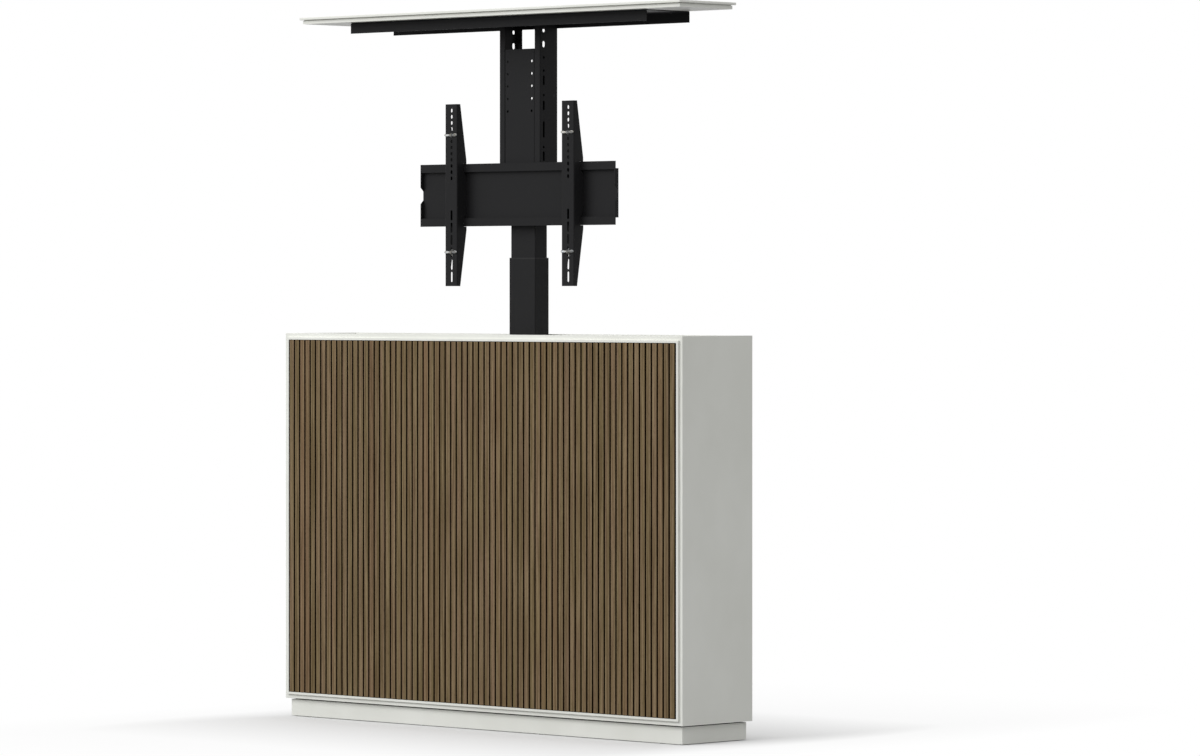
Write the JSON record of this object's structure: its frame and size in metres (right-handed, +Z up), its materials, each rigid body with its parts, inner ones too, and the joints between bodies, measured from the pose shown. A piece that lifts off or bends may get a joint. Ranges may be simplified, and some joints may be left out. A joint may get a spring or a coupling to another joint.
{
  "type": "tv lift cabinet",
  "caption": "Slim floor cabinet with a slatted front and a telescopic column that raises its lid together with a screen plate and two slotted arms.",
  "frame": {"origin": "on the floor, at the middle of the cabinet's footprint", "axes": "+Z up; the slatted front faces -Y; +X is to the right of someone who looks at the front"},
  "size_m": [1.36, 0.2468, 1.7415],
  "materials": {
    "white_lacquer": "satin white lacquer on board",
    "slat_walnut": "open-pored matt veneer, greyish walnut brown",
    "black_felt": "black felt",
    "raw_board": "bare wood",
    "black_powder_coat": "fine black powder coat",
    "black_fastener": "black oxide",
    "zinc_steel": "bright zinc plating",
    "screw_steel": "ground steel",
    "motor_metal": "plated steel can",
    "pale_polymer": "natural acetal",
    "black_plastic": "fine textured moulding"
  },
  "bodies": {
    "root": {"side_panel_left": "white_lacquer", "side_panel_right": "white_lacquer", "top_panel": "white_lacquer", "bottom_panel": "white_lacquer", "back_panel": "white_lacquer", "back_panel_screws": "zinc_steel", "front_panel": "white_lacquer", "slat_backing": "black_felt", "front_slats": "slat_walnut", "plinth_front": "white_lacquer", "plinth_rear": "white_lacquer", "plinth_left": "white_lacquer", "plinth_right": "white_lacquer", "plinth_corner_blocks": "raw_board", "plinth_glides": "black_plastic", "corner_angles": "zinc_steel", "rear_rail": "raw_board", "cable_outlet": "black_plastic", "mains_gland": "black_plastic", "lift_base_plate": "black_powder_coat", "column_bolts": "zinc_steel", "fixed_tube": "black_powder_coat", "fixed_tube_glides": "pale_polymer", "column_brace": "black_powder_coat", "gear_motor": "motor_metal", "lower_bearing": "pale_polymer", "control_box": "black_plastic"},
    "lower_screw": {"lower_screw": "screw_steel", "motor_coupling": "screw_steel"},
    "middle_stage": {"middle_tube": "black_powder_coat", "middle_tube_glides": "pale_polymer", "middle_tube_collar": "black_plastic", "lower_nut": "pale_polymer", "upper_bearing": "pale_polymer"},
    "upper_screw": {"upper_screw": "screw_steel"},
    "top_stage": {"inner_tube": "black_powder_coat", "inner_tube_glides": "pale_polymer", "upper_nut": "pale_polymer", "tube_plug": "pale_polymer", "head_bracket": "black_powder_coat", "head_bolts": "black_fastener", "mast_channel_left": "black_powder_coat", "mast_channel_right": "black_powder_coat", "mast_rail": "black_powder_coat", "mast_top_plate": "black_powder_coat", "mast_bolts": "black_fastener", "lid_carrier": "black_powder_coat", "lid_screws": "black_fastener", "lid_board": "white_lacquer", "screen_plate": "black_powder_coat", "plate_studs": "black_fastener"},
    "left_arm": {"left_arm": "black_powder_coat", "left_arm_nuts": "zinc_steel"},
    "right_arm": {"right_arm": "black_powder_coat", "right_arm_nuts": "zinc_steel"},
    "wing_screw_upper_left": {"wing_screw_upper_left": "zinc_steel"},
    "wing_screw_lower_left": {"wing_screw_lower_left": "zinc_steel"},
    "wing_screw_upper_right": {"wing_screw_upper_right": "zinc_steel"},
    "wing_screw_lower_right": {"wing_screw_lower_right": "zinc_steel"},
    "rocker": {"rocker": "black_plastic"}
  },
  "joints": [
    {"name": "lift", "type": "slide", "parent": "root", "child": "top_stage", "axis": [0, 0, 1], "range_m": [-0.78, 0]},
    {"name": "middle_lift", "type": "slide", "parent": "root", "child": "middle_stage", "axis": [0, 0, 1], "range_m": [-0.416, 0]},
    {"name": "lower_screw_turn", "type": "hinge", "parent": "root", "child": "lower_screw", "pos_m": [0, 0.05935, 0.192], "axis": [0, 0, 1], "range_deg": [0, 9360]},
    {"name": "upper_screw_turn", "type": "hinge", "parent": "middle_stage", "child": "upper_screw", "pos_m": [0, 0.05935, 0.647], "axis": [0, 0, 1], "range_deg": [0, 9360]},
    {"name": "left_arm_slide", "type": "slide", "parent": "top_stage", "child": "left_arm", "axis": [1, 0, 0], "range_m": [-0.1, 0.1]},
    {"name": "wing_screw_upper_left_turn", "type": "hinge", "parent": "left_arm", "child": "wing_screw_upper_left", "pos_m": [-0.2, -0.00905, 1.4419], "axis": [0, -1, 0], "continuous": true},
    {"name": "wing_screw_lower_left_turn", "type": "hinge", "parent": "left_arm", "child": "wing_screw_lower_left", "pos_m": [-0.2, -0.00905, 1.1549], "axis": [0, -1, 0], "continuous": true},
    {"name": "right_arm_slide", "type": "slide", "parent": "top_stage", "child": "right_arm", "axis": [1, 0, 0], "range_m": [-0.1, 0.1]},
    {"name": "wing_screw_upper_right_turn", "type": "hinge", "parent": "right_arm", "child": "wing_screw_upper_right", "pos_m": [0.2, -0.00905, 1.4419], "axis": [0, -1, 0], "continuous": true},
    {"name": "wing_screw_lower_right_turn", "type": "hinge", "parent": "right_arm", "child": "wing_screw_lower_right", "pos_m": [0.2, -0.00905, 1.1549], "axis": [0, -1, 0], "continuous": true},
    {"name": "rocker_tip", "type": "hinge", "parent": "root", "child": "rocker", "pos_m": [0.31, 0.06535, 0.104], "axis": [0, 1, 0], "range_deg": [-7, 7], "stiffness_Nm_per_rad": 0.3}
  ],
  "couplings": [
    {"joint": "middle_lift", "follows": "lift", "ratio": 0.53333},
    {"joint": "lower_screw_turn", "follows": "lift", "rad_per_m": -209.43},
    {"joint": "upper_screw_turn", "follows": "lift", "rad_per_m": -209.43}
  ]
}
